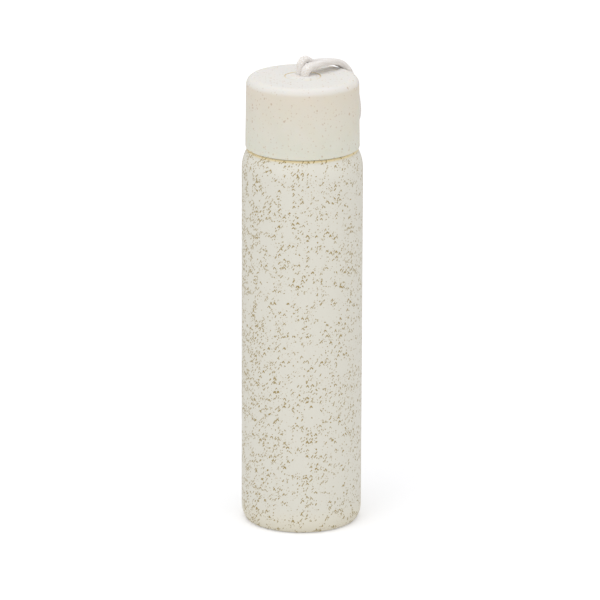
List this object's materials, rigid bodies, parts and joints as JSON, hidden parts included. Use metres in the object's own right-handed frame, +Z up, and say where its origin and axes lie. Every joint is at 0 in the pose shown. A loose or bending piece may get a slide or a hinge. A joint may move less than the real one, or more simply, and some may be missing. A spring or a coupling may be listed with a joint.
{
  "type": "vacuum flask",
  "caption": "Slim double-wall drink flask with a screw cap, a narrow neck inside it and a cotton cord loop held in the cap's top.",
  "frame": {"origin": "centre of the foot, on the surface that the flask stands on", "axes": "+Z up along the flask's axis; the picture looks along +Y; the cord hangs behind the cap, towards +X and +Y"},
  "size_m": [0.065, 0.065, 0.2571],
  "materials": {
    "speckled_paint": "satin",
    "bare_steel": "brushed",
    "foil": "bright",
    "base_steel": "satin",
    "sealing_glass": "gloss",
    "getter_metal": "matt",
    "pad_rubber": "matt",
    "silicone": "satin",
    "cap_plastic": "satin",
    "liner_plastic": "satin",
    "foam": "matt",
    "cotton_cord": "matt"
  },
  "bodies": {
    "bottle": {"outer_shell": "speckled_paint", "neck_collar": "bare_steel", "neck_thread": "bare_steel", "inner_flask": "bare_steel", "inner_base": "bare_steel", "reflective_foil": "foil", "outer_base": "base_steel", "seal_bead": "sealing_glass", "getter": "getter_metal", "base_pad": "pad_rubber"},
    "cap_lift": {"lid_gasket": "silicone"},
    "cap": {"cap_shell": "cap_plastic", "cap_liner": "liner_plastic", "cap_thread": "liner_plastic", "cap_foam": "foam", "cord_button": "cap_plastic", "button_clip": "bare_steel", "cord_loop": "cotton_cord", "cord_knot": "cotton_cord"}
  },
  "joints": [
    {"name": "cap_lift", "type": "slide", "parent": "bottle", "child": "cap_lift", "axis": [0, 0, 1], "range_m": [0, 0.024]},
    {"name": "cap_turn", "type": "hinge", "parent": "cap_lift", "child": "cap", "pos_m": [0, 0, 0.25], "axis": [0, 0, 1], "range_deg": [0, 720]}
  ],
  "couplings": [
    {"joint": "cap_lift", "follows": "cap_turn", "m_per_rad": 0.0019099}
  ]
}
